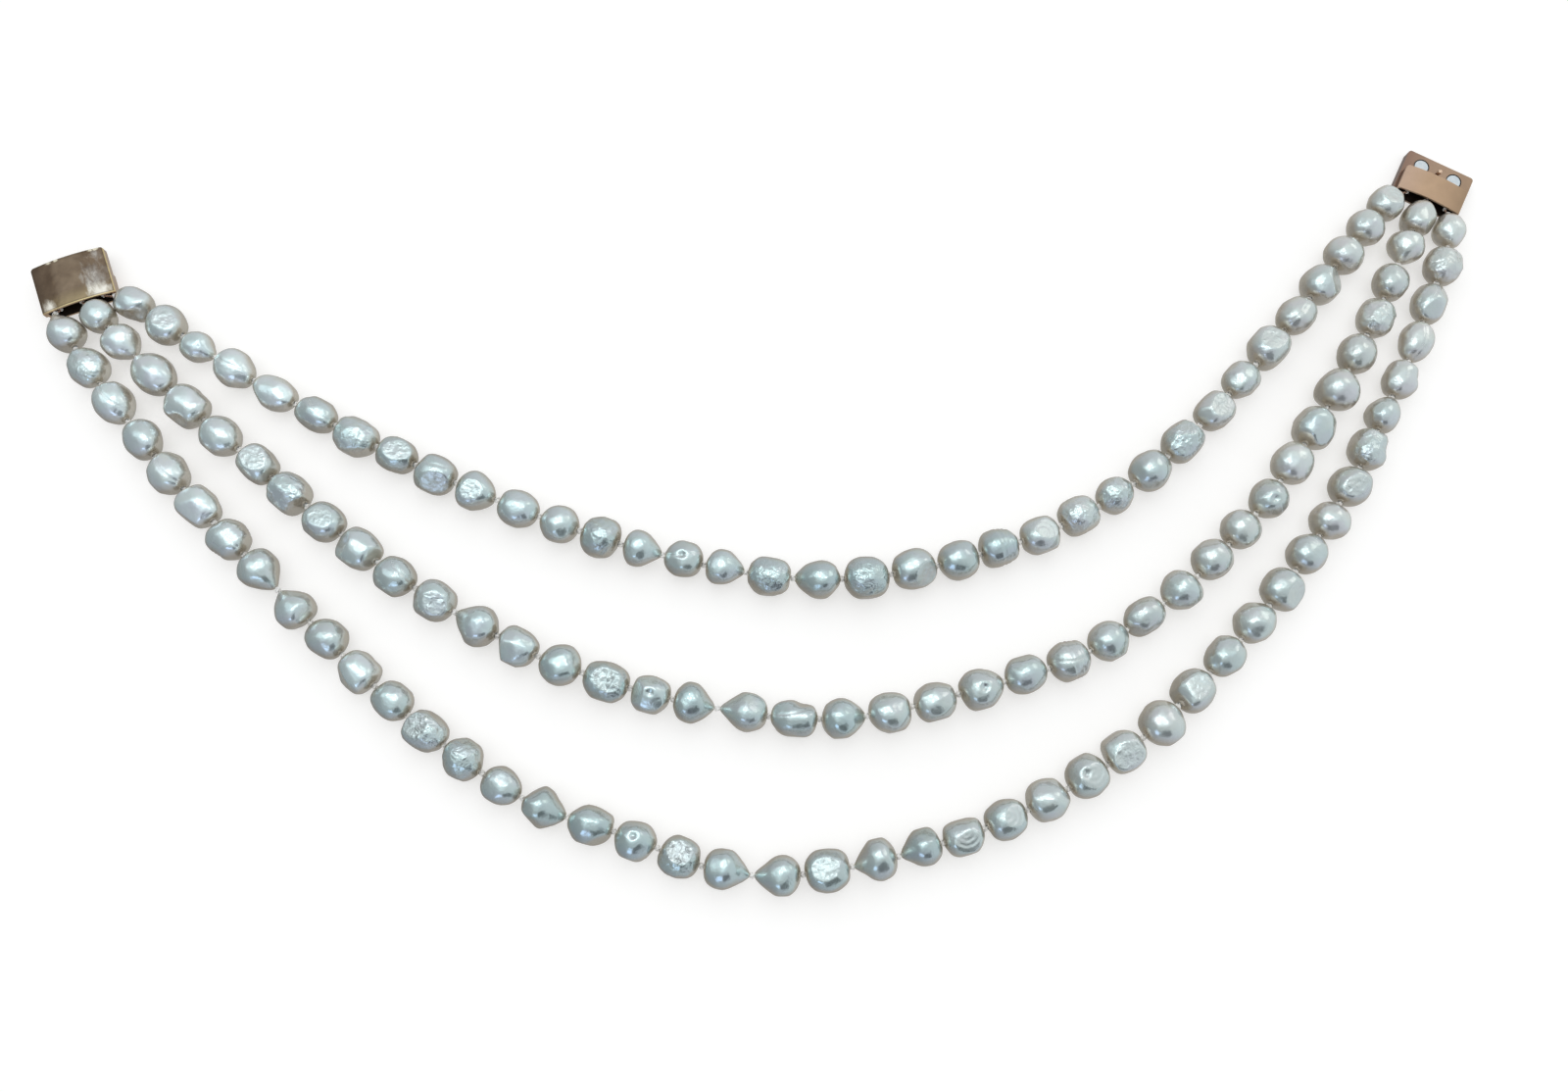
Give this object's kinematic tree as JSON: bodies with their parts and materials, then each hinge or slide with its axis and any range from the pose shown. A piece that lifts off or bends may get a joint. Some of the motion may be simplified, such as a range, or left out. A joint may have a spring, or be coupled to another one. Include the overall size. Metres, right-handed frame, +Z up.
{
  "type": "multi strand necklace",
  "caption": "Necklace of nested strands of freshwater pearls knotted on silk, laid open flat in curves between the parted halves of a magnetic box clasp.",
  "frame": {"origin": "on the table, under the middle of the whole necklace's box", "axes": "+X to the right along the longest extent, from the cover half to the base half of the clasp; +Y from the lowest curve towards the clasp; +Z up"},
  "size_m": [0.3644, 0.1876, 0.0106],
  "materials": {
    "pearl": "nacre with a high, slightly metallic lustre",
    "silk": "twisted silk",
    "polished_clasp": "polished, handled",
    "satin_clasp": "satin",
    "magnet": "nickel plated",
    "pin": "polished"
  },
  "bodies": {
    "root": {"pearls_inner": "pearl", "pearls_middle": "pearl", "pearls_outer": "pearl", "thread_inner": "silk", "thread_middle": "silk", "thread_outer": "silk", "clasp_cover": "polished_clasp", "cover_magnet_left": "magnet", "cover_magnet_right": "magnet", "clasp_base": "satin_clasp", "base_magnet_left": "magnet", "base_magnet_right": "magnet", "catch_pin": "pin"}
  },
  "joints": []
}
